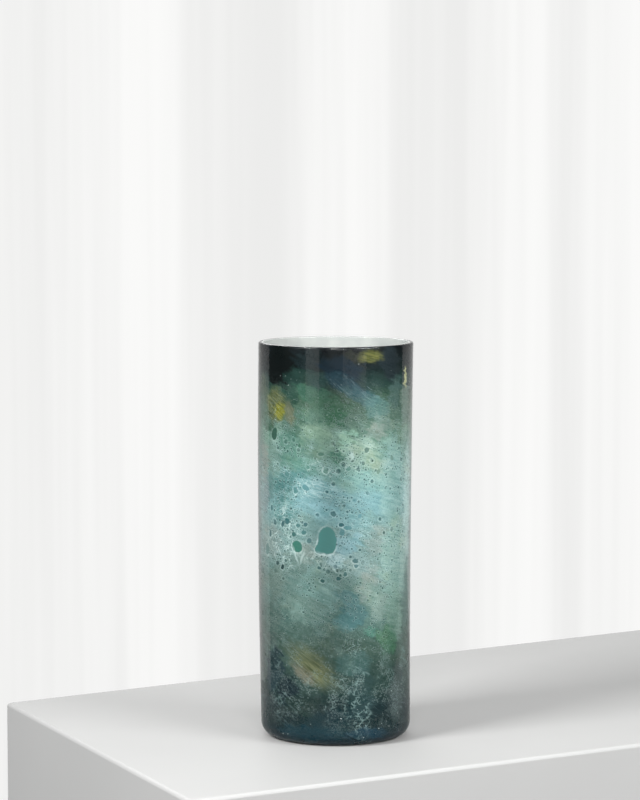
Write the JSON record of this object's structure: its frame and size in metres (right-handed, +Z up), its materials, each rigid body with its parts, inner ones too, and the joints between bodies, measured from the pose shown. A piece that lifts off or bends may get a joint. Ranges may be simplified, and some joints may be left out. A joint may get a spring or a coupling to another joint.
{
  "type": "vase",
  "caption": "Tall straight cylinder vase of hand blown cased glass: mottled blue-green colour between an opal white liner and a clear outer casing, heavy rounded base and ground foot",
  "frame": {"origin": "centre of the ground foot, on the surface the vase stands on (bottom centre of the bounding box)", "axes": "+Z up along the vase's axis; -Y faces the viewer of the front, +X to that viewer's right"},
  "size_m": [0.1788, 0.178, 0.456],
  "materials": {
    "clear_glass": "fire polished, glossy",
    "mottled_colour": "mottled teal, sage, navy and pale aqua with fine pits and bubbles",
    "opal_white": "glossy opal",
    "olive_gold": "streaky olive gold"
  },
  "bodies": {
    "root": {"clear_casing": "clear_glass", "colour_overlay": "mottled_colour", "opal_liner": "opal_white", "gold_shard_upper_left": "olive_gold", "gold_shard_rim_right": "olive_gold", "gold_streak_right": "olive_gold", "gold_shard_lower_left": "olive_gold"}
  },
  "joints": []
}
